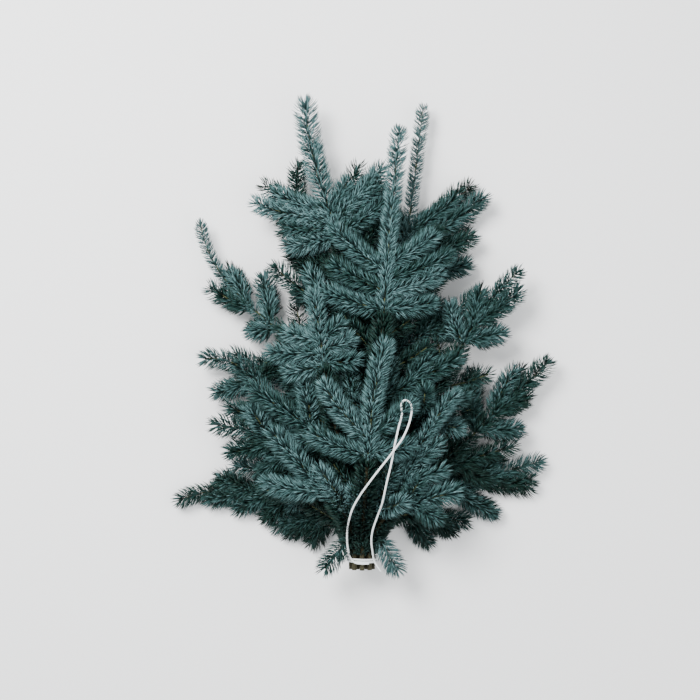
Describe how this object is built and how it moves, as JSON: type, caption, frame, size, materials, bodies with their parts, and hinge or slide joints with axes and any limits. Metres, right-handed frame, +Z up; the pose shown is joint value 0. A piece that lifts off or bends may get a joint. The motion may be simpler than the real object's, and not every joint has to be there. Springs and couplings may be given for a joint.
{
  "type": "tied bundle of cut noble fir boughs",
  "caption": "Flat-lying bundle of cut blue-green noble fir boughs, their stems tied together with white string and a long carrying loop laid over the needles.",
  "frame": {"origin": "middle of the underside of the box round the whole bundle, on the ground", "axes": "+Y from the tied stems towards the tips of the boughs, +Z up from the ground the bundle lies on, +X to the right seen from above with the tips away"},
  "size_m": [0.6718, 0.8376, 0.1696],
  "materials": {
    "needles": "waxy blue-green needles",
    "bark": "rough thin bark",
    "twine": "matte white twisted string"
  },
  "bodies": {
    "root": {"bough_bright_left": "bark", "bough_centre": "bark", "bough_crown_left": "bark", "bough_crown_right": "bark", "bough_front": "bark", "bough_left": "bark", "bough_low_left": "bark", "bough_lower_left": "bark", "bough_lower_right": "bark", "bough_middle_left": "bark", "bough_middle_right": "bark", "bough_outer_left": "bark", "bough_right": "bark", "bough_upper_right": "bark", "foliage_bright_left_foot": "needles", "foliage_bright_left_tip": "needles", "foliage_centre_left": "needles", "foliage_centre_right": "needles", "foliage_centre_tip": "needles", "foliage_crown_left_back": "needles", "foliage_crown_left_side": "needles", "foliage_crown_left_tip": "needles", "foliage_crown_right_right": "needles", "foliage_crown_right_tip": "needles", "foliage_front_left": "needles", "foliage_front_right": "needles", "foliage_front_tip": "needles", "foliage_left_left": "needles", "foliage_left_tip": "needles", "foliage_low_left_left": "needles", "foliage_low_left_tip": "needles", "foliage_lower_left_left": "needles", "foliage_lower_left_tip": "needles", "foliage_lower_right_right": "needles", "foliage_lower_right_tip": "needles", "foliage_middle_left_left": "needles", "foliage_middle_left_tip": "needles", "foliage_middle_right_foot": "needles", "foliage_middle_right_right": "needles", "foliage_middle_right_tip": "needles", "foliage_outer_left_left": "needles", "foliage_outer_left_tip": "needles", "foliage_right_right": "needles", "foliage_right_tip": "needles", "foliage_upper_right_right": "needles", "foliage_upper_right_tip": "needles", "loop": "twine", "tie": "twine"}
  },
  "joints": []
}
